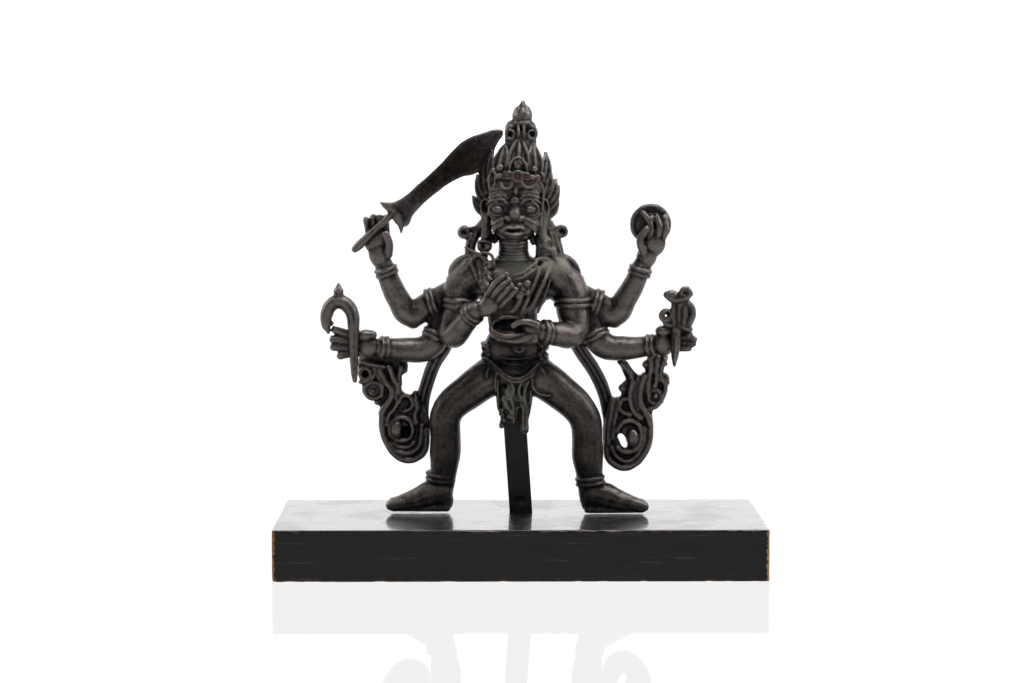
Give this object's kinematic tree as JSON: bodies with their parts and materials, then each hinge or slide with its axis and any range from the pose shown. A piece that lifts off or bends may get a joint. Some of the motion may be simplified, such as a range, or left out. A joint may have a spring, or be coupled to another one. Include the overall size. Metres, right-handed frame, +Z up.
{
  "type": "shiva statue",
  "caption": "Small dark bronze statue of a six-armed crowned deity, standing astride on a square post over a black lacquered wooden block.",
  "frame": {"origin": "centre of the wooden block's underside", "axes": "+X to the right as seen from the front, along the block's length; +Y away from the viewer, the figure faces -Y; +Z up"},
  "size_m": [0.2, 0.08, 0.193],
  "materials": {
    "bronze": "dark brown-black patina, satin, rubbed warmer on the thighs, forearms and sword, with grey-green dust in the hollows",
    "post": "blackened, semi-matt",
    "lacquered_wood": "glossy black lacquer, chipped to bare orange-brown wood at the corners"
  },
  "bodies": {
    "root": {"bronze_figure": "bronze", "support_post": "post", "wooden_base": "lacquered_wood"}
  },
  "joints": []
}
